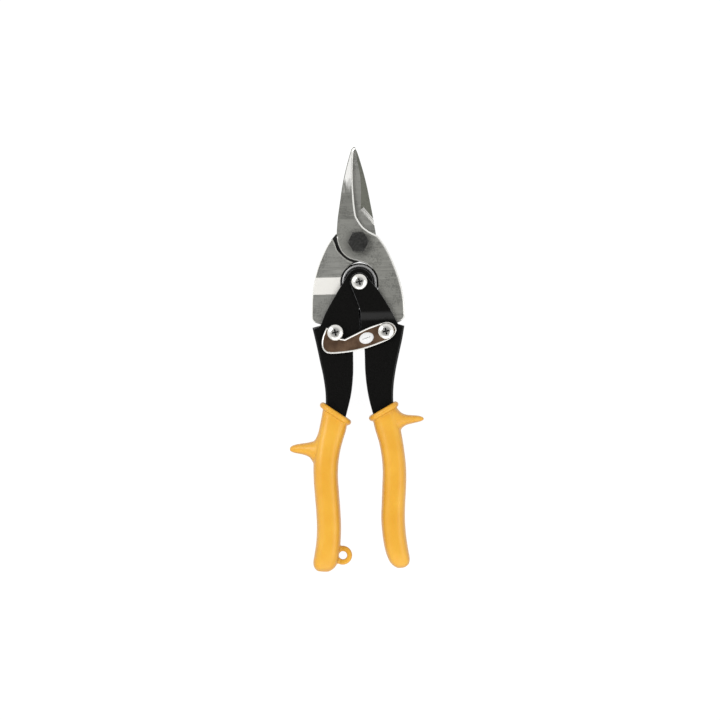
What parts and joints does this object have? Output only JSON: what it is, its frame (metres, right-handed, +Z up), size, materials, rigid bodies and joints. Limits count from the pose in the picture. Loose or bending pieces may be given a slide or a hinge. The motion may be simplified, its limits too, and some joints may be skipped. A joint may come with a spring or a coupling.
{
  "type": "aviation snips",
  "caption": "Straight-cut aviation snips with compound linkage, hook latch, dipped grips, thumb stops and a hang loop, lying flat and latched shut.",
  "frame": {"origin": "on the blade pivot's axis, at the flat end of its bolt, which is also the height of the surface the snips lie on", "axes": "+Y along the tool from the grips to the blade tips, +Z up out of the resting surface along the pivot bolts, +X across the tool"},
  "size_m": [0.0803, 0.2543, 0.023],
  "materials": {
    "forged_steel": "drop-forged steel, ground and satin",
    "black_oxide_steel": "black oxide, satin",
    "black_paint": "black gloss paint on pressed steel",
    "chrome": "bright nickel plate",
    "zinc_steel": "zinc plate, satin",
    "spring_steel": "drawn spring wire",
    "dark_nickel": "dark nickel plate with bright rolled edges",
    "yellow_vinyl": "dipped vinyl, satin"
  },
  "bodies": {
    "back_jaw_body": {"back_jaw": "forged_steel", "blade_pivot_bolt": "black_oxide_steel", "blade_pivot_washer": "zinc_steel", "blade_pivot_nut": "black_oxide_steel"},
    "front_jaw_body": {"front_jaw": "forged_steel"},
    "left_handle_body": {"left_handle": "black_paint", "left_grip": "yellow_vinyl", "left_link_screw": "chrome", "left_link_washer": "zinc_steel", "left_link_nut": "zinc_steel", "handle_pivot_screw": "chrome", "handle_pivot_nut": "zinc_steel", "spring_bush": "zinc_steel", "return_spring": "spring_steel"},
    "right_handle_body": {"right_handle": "black_paint", "right_grip": "yellow_vinyl", "right_link_screw": "chrome", "right_link_washer": "zinc_steel", "right_link_nut": "zinc_steel", "latch_wave_washer": "spring_steel", "return_spring_right_leg": "spring_steel"},
    "latch_body": {"latch": "dark_nickel"}
  },
  "joints": [
    {"name": "jaw_pivot", "type": "hinge", "parent": "back_jaw_body", "child": "front_jaw_body", "pos_m": [0, 0, 0.0115], "axis": [0, 0, 1], "range_deg": [0, 22]},
    {"name": "left_link", "type": "hinge", "parent": "back_jaw_body", "child": "left_handle_body", "pos_m": [-0.0151, -0.0538, 0.0115], "axis": [0, 0, 1], "range_deg": [-10.5, 0]},
    {"name": "right_link", "type": "hinge", "parent": "front_jaw_body", "child": "right_handle_body", "pos_m": [0.0151, -0.0538, 0.0115], "axis": [0, 0, 1], "range_deg": [0, 10.5]},
    {"name": "latch_swing", "type": "hinge", "parent": "right_handle_body", "child": "latch_body", "pos_m": [0.0151, -0.0538, 0.019], "axis": [0, 0, 1], "range_deg": [0, 90]}
  ],
  "couplings": [
    {"joint": "left_link", "follows": "jaw_pivot", "ratio": -0.465},
    {"joint": "right_link", "follows": "jaw_pivot", "ratio": 0.465},
    {"joint": "latch_swing", "follows": "jaw_pivot", "ratio": 4}
  ]
}
